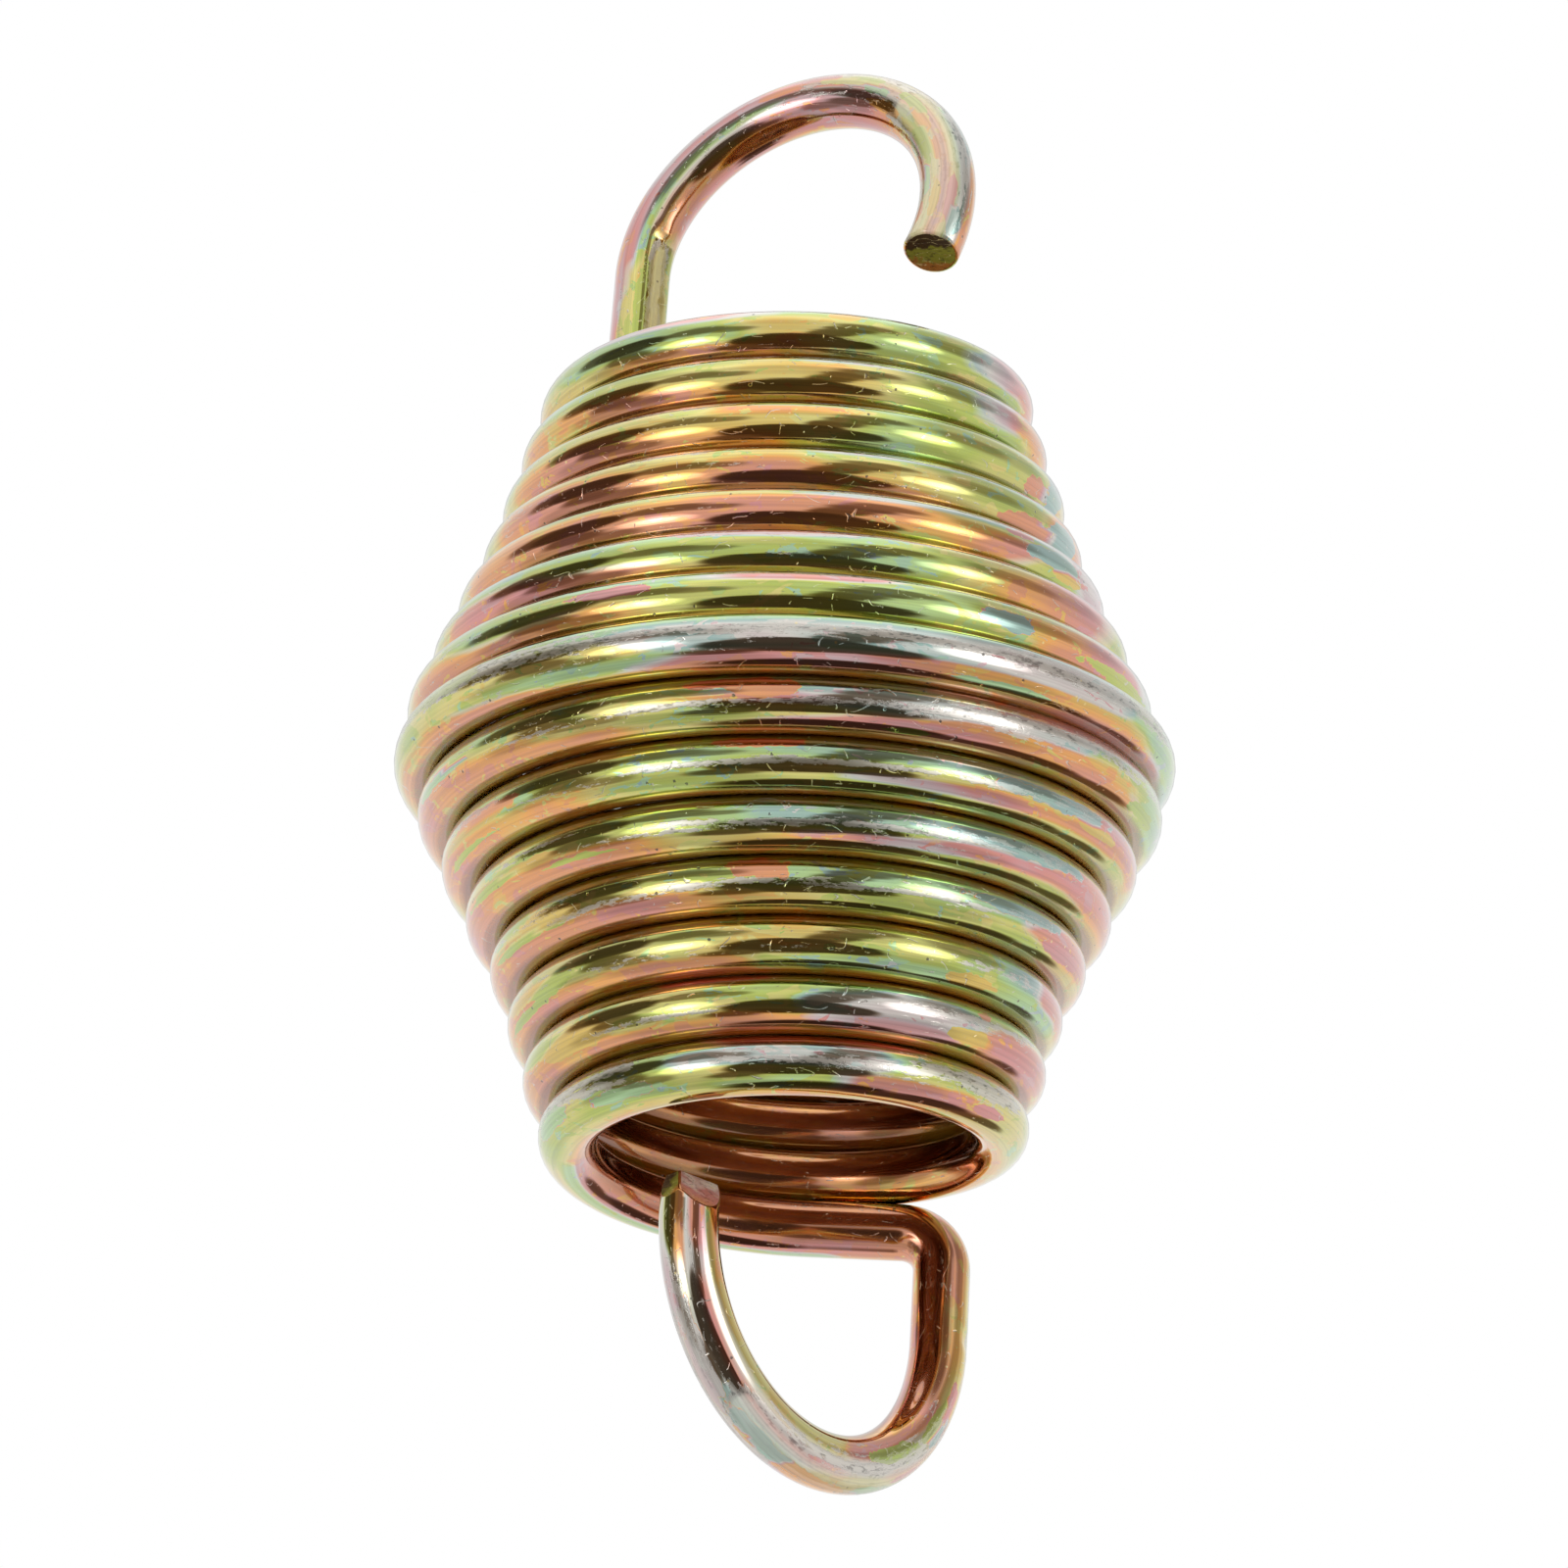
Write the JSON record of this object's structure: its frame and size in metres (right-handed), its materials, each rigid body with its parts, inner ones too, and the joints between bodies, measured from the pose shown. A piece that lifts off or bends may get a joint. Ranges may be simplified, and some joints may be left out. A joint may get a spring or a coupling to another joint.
{
  "type": "brake return spring",
  "caption": "Close-wound barrel-shaped extension spring with a hook at each end, which pulls a pair of brake shoes back together.",
  "frame": {"origin": "seat of the upper hook: the highest place on the inside of its loop, where a pin pulls", "axes": "+Z along the coil's axis, towards the upper hook; -Y towards the side the picture shows; +X to its right"},
  "size_m": [0.0706, 0.0708, 0.138],
  "materials": {
    "wire": "yellow iridescent zinc plating, glossy, scuffed to silver on the crests"
  },
  "bodies": {
    "root": {"spring_wire": "wire"}
  },
  "joints": []
}
